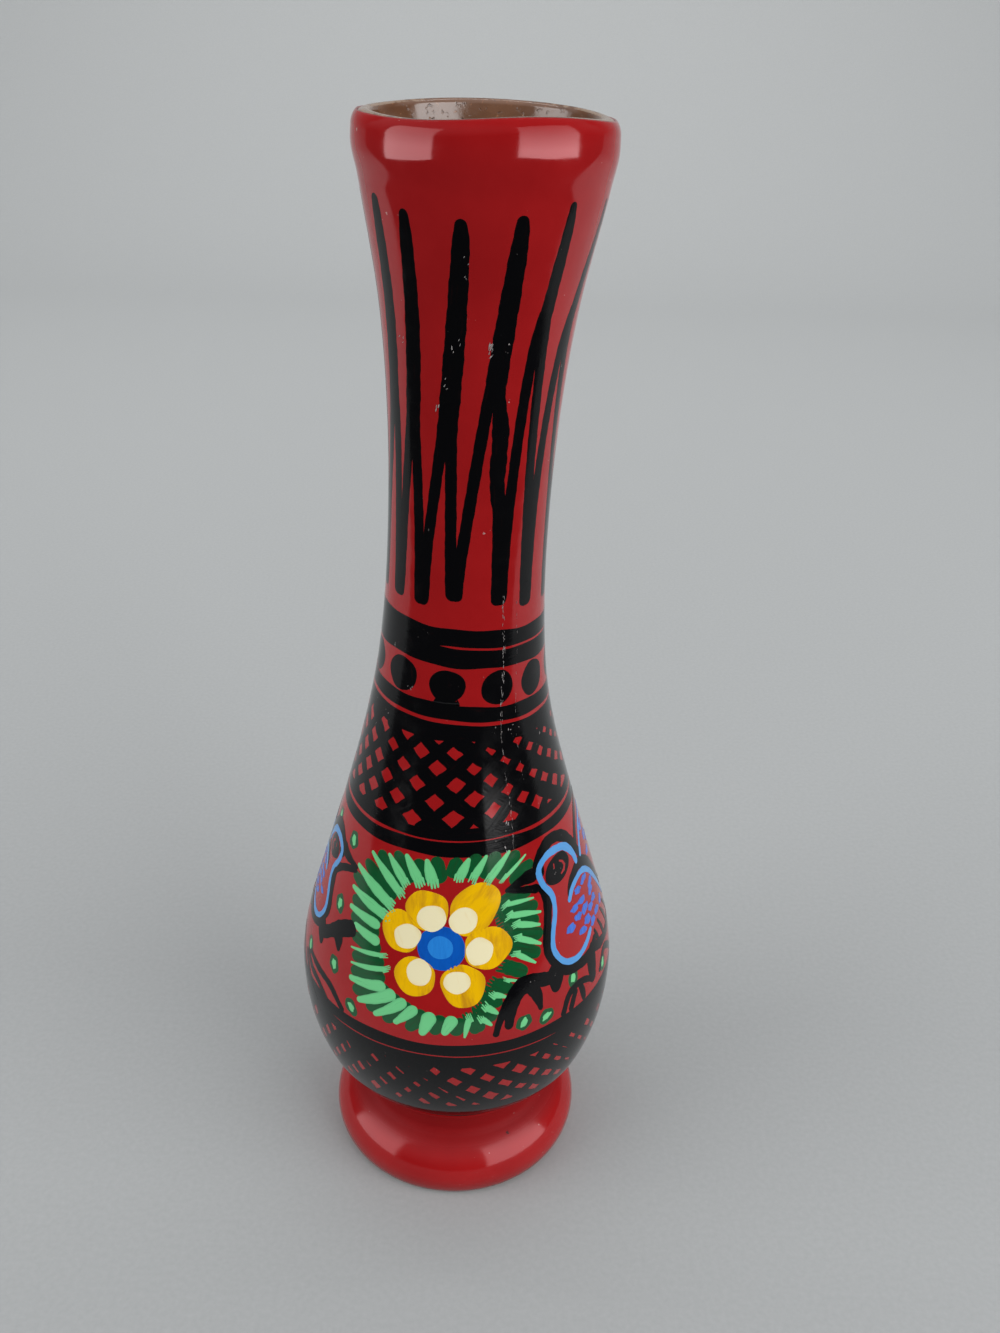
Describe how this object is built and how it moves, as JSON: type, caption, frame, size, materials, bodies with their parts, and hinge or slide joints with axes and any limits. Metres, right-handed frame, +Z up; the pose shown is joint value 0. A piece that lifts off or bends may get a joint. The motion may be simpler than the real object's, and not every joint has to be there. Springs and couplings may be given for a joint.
{
  "type": "clay vase",
  "caption": "Slim red enamelled clay bud vase with a plump foot ring, a full belly, a long leaning neck and a thick flared lip.",
  "frame": {"origin": "on the table under the middle of the foot ring", "axes": "+Z up along the belly's axis, the neck leans towards +X, the side in the picture faces -Y"},
  "size_m": [0.0772, 0.0772, 0.2506],
  "materials": {
    "raw_clay": "bare fired clay, slightly shiny",
    "slip": "bare fired clay, matt",
    "red_enamel": "gloss",
    "black_paint": "gloss",
    "green_paint": "gloss",
    "yellow_paint": "gloss",
    "blue_paint": "gloss",
    "cream_paint": "gloss"
  },
  "bodies": {
    "root": {"foot_ring": "raw_clay", "foot_slip": "slip", "belly": "raw_clay", "neck_slip": "slip", "neck": "raw_clay", "lip_slip": "slip", "lip": "raw_clay", "belly_enamel": "red_enamel", "neck_enamel": "red_enamel"}
  },
  "joints": []
}
